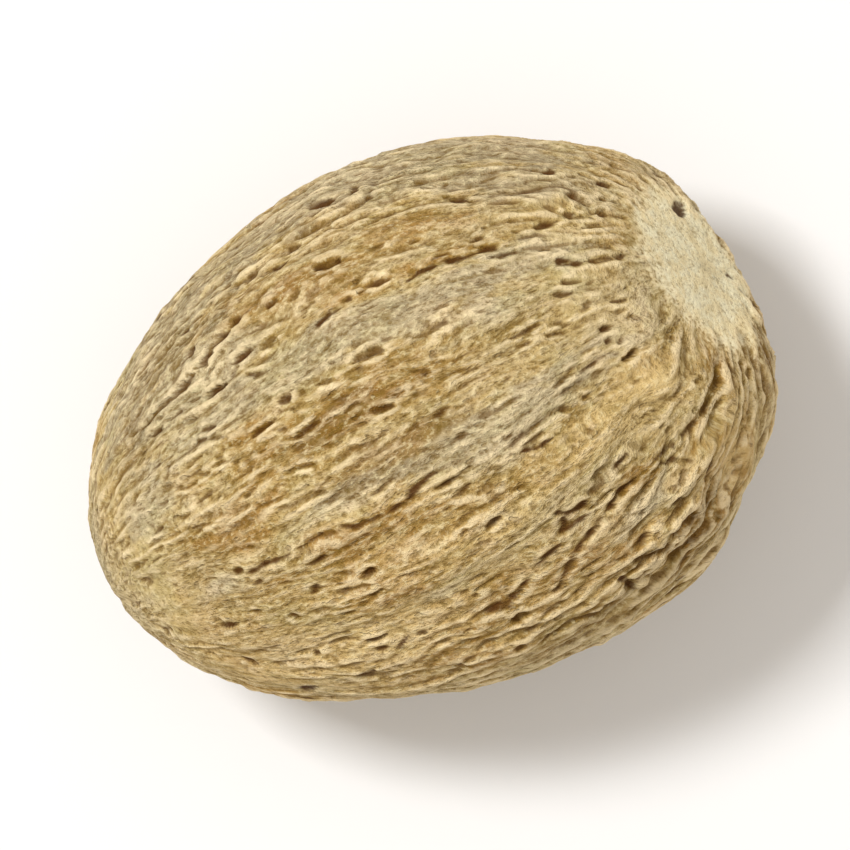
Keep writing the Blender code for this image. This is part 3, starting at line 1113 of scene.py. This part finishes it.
class SkinWiring(Wiring):
    """Dry seed skin, laid on layer by layer. Its colour so far is self.skin."""

    def __init__(self):
        super().__init__("nutmeg_skin")
        self.read_mesh()
        self.draw_patterns()
        self.skin = self.bands()

    def read_mesh(self):
        """The grain's two coordinates, a plain place in millimetres, and the values of the skin."""
        self.grain = self.read("grain", "Vector")
        self.inner_grain = self.read("inner_grain", "Vector")
        place = self.add("ShaderNodeTexCoord", {}).outputs["Object"]
        self.even = self.scaled(place, (1 / MM,) * 3)
        for name in ("dark", "crest", "warm", "shade", "scar", "tip", "inner"):
            setattr(self, name, self.read(name))

    def draw_patterns(self):
        """The patterns that several layers share, and the scar's ragged outline."""
        self.blotches = self.streaked(*BLOTCHES)
        self.streaks = self.streaked(*STREAKS)
        self.flecks = self.streaked(*FLECKS)
        # The scar's specks are the same in all directions.
        even_specks = self.noise(self.even, *SPECKS[1:])
        self.specks = self.blend(self.scar, self.streaked(*SPECKS), even_specks)
        self.scar = self.span(self.wobbling(self.scar, self.specks), *SCAR_EDGE)
        self.off_scar = self.rest_of(self.scar, SCAR_CALM)

    def streaked(self, stretch, scale, detail, roughness):
        """Noise drawn out along the grain, as wide near the ends as round the middle."""
        outer_noise, inner_noise = (
            self.noise(self.scaled(vector, (1 / stretch, 1.0, 1.0)), scale, detail, roughness)
            for vector in (self.grain, self.inner_grain)
        )
        return self.blend(self.inner, outer_noise, inner_noise)

    def wobbling(self, value, pattern):
        """The value with a pattern added, which makes the edges of places uneven."""
        return self.math("ADD", value, self.noise_span(pattern, -EDGE_WOBBLE, EDGE_WOBBLE))

    def lay(self, value, start, full, strength, tint, share=None):
        """Lays one layer of colour where the value is high enough, all over or on a share of the skin."""
        amount = self.span(value, start, full, 0.0, strength)
        if share is not None:
            amount = self.math("MULTIPLY", amount, share)
        self.skin = self.mix(amount, self.skin, tint)

    def bands(self):
        """Bands of colour from grey to ochre."""
        tone = self.math("MULTIPLY", self.warm, STAIN_SHARE)
        for share, pattern in BANDS:
            band = self.noise_span(self.streaked(*pattern), -share / 2, share / 2)
            tone = self.math("ADD", tone, band)
        ramp = self.add("ShaderNodeValToRGB", {0: self.math("ADD", tone, 0.5)})
        stops = ramp.color_ramp.elements
        stops[0].color = colour(TONES[0][1])
        stops[1].color = colour(TONES[-1][1])
        for position, text in TONES[1:-1]:
            stops.new(position).color = colour(text)
        return ramp.outputs["Color"]

    def lay_casts(self):
        """A slow drift between an olive and a rosy cast."""
        drift = self.noise(self.even, *DRIFT)
        self.lay(drift, *OLIVE_CAST)
        self.lay(drift, *ROSY_CAST)

    def lay_shades(self):
        """Darker places, brown on ochre and grey on grey, and paler ones, partly painted shade and painted
        light.
        """
        uneven = self.wobbling(self.shade, self.streaks)
        dark = self.mix(self.span(self.warm, *GREY_TO_OCHRE), DARK_GREY, DARK_OCHRE)
        self.lay(uneven, *DARK_AND_SHADED_PLACES, dark)
        self.lay(uneven, *PALE_AND_LIT_PLACES)

    def lay_ends(self):
        """The pale tip and the cream scar."""
        self.skin = self.mix(self.math("MULTIPLY", self.tip, TIP_STRENGTH), self.skin, TIP_COLOUR)
        clouds = self.span(self.noise(self.even, *CREAM_CLOUDS), *SCAR_CLOUDS)
        cream = self.mix(clouds, SCAR_COLOUR, SCAR_CLOUD_COLOUR)
        self.skin = self.mix(self.math("MULTIPLY", self.scar, SCAR_STRENGTH), self.skin, cream)

    def lay_grain(self):
        """Blotches, streaks, specks and flecks along the grain, light and dark, calmer on the scar."""
        self.lay(self.blotches, *DARK_BLOTCHES, self.off_scar)
        self.lay(self.blotches, *PALE_BLOTCHES, self.off_scar)
        self.lay(self.streaks, *DARK_STREAKS, self.off_scar)
        self.lay(self.streaks, *PALE_STREAKS, self.off_scar)
        self.lay(self.specks, *DARK_SPECKS, self.rest_of(self.scar, SCAR_CLEANNESS))
        self.lay(self.specks, *PALE_SPECKS)
        self.lay(self.flecks, *DARK_FLECKS, self.off_scar)

    def lay_relief_colours(self):
        """Pale crests, partly a painted highlight, and brown hollows and gouges, partly painted shade."""
        self.lay(self.crest, *PALE_CRESTS_AND_HIGHLIGHT, self.span(self.shade, *CREST_SHADES, 1.0, DARK_CREST_SHARE))
        self.lay(self.crest, *BROWN_AND_SHADED_HOLLOWS, self.off_scar)
        self.lay(self.dark, *BROWN_AND_SHADED_GOUGES)

    def finish(self):
        """The colour, the gloss, and the fine relief below what the mesh holds."""
        inputs = self.shader.inputs
        self.put(inputs["Base Color"], self.skin)
        self.put(inputs["Roughness"], self.noise_span(self.streaks, MATT, SILKY))
        inputs["Specular IOR Level"].default_value = SPECULAR
        start, full = DARK_FLECKS[:2]
        flecks = self.math("MULTIPLY", self.span(self.flecks, start, full), self.off_scar)
        fine = self.math("MULTIPLY", self.streaks, STREAK_RELIEF)
        fine = self.math("SUBTRACT", fine, self.math("MULTIPLY", flecks, FLECK_RELIEF))
        fine = self.math("ADD", self.math("MULTIPLY", fine, self.off_scar), self.specks)
        relief = self.add("ShaderNodeBump", {"Strength": 1.0, "Distance": FINE_RELIEF, "Height": fine})
        self.put(inputs["Normal"], relief.outputs["Normal"])


def nutmeg_skin():
    """Dry seed skin: tan with ochre and grey streaks, brown in the grooves with painted shade, cream on the
    scar.
    """
    wire = SkinWiring()
    wire.lay_casts()
    wire.lay_shades()
    wire.lay_ends()
    wire.lay_grain()
    wire.lay_relief_colours()
    wire.finish()
    return wire.material


# ---- The floor, the light and the camera.


def make_floor():
    """A plain pale floor just under the seed."""
    mesh = bpy.data.meshes.new("floor")
    corners = [(x * FLOOR_REACH, y * FLOOR_REACH, 0) for x, y in ((-1, -1), (1, -1), (1, 1), (-1, 1))]
    mesh.from_pydata(corners, [], [(0, 1, 2, 3)])
    wire = Wiring("floor")
    wire.shader.inputs["Base Color"].default_value = FLOOR_COLOUR
    wire.shader.inputs["Roughness"].default_value = FLOOR_ROUGHNESS
    mesh.materials.append(wire.material)
    floor = link_to_scene("floor", mesh)
    floor.location.z = -FLOOR_GAP
    return floor


def make_camera():
    """Looks straight down."""
    data = bpy.data.cameras.new("camera")
    data.lens = LENS
    data.sensor_width = SENSOR
    data.clip_start = CLIP_START
    camera = link_to_scene("camera", data)
    camera.location = Vector(MIDDLE * MM) + Vector((0, 0, PICTURE_WIDTH * LENS / SENSOR))
    camera.rotation_euler = (0, 0, PICTURE_TURN)
    bpy.context.scene.camera = camera


def make_key():
    """One soft lamp from the picture's upper left."""
    data = bpy.data.lights.new("key", "AREA")
    data.shape = "SQUARE"
    data.size = KEY_SIZE
    data.energy = KEY_POWER
    data.color = KEY_COLOUR
    towards = Vector(direction(KEY_AZIMUTH + math.degrees(PICTURE_TURN), KEY_ELEVATION))
    lamp = link_to_scene("key", data)
    lamp.location = Vector(MIDDLE * MM) + towards * KEY_DISTANCE
    lamp.rotation_euler = towards.to_track_quat("Z", "Y").to_euler()


def make_sky():
    """An even warm light from all round."""
    world = bpy.data.worlds.new("studio")
    world.use_nodes = True
    background = world.node_tree.nodes["Background"]
    background.inputs["Color"].default_value = SKY_COLOUR
    background.inputs["Strength"].default_value = SKY_STRENGTH
    bpy.context.scene.world = world


nutmeg = make_nutmeg()
nutmeg.data.materials.append(nutmeg_skin())
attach(nutmeg, "root")
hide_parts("nutmeg")
make_floor()
make_key()
make_sky()
make_camera()
bpy.context.scene.view_settings.view_transform = "Standard"
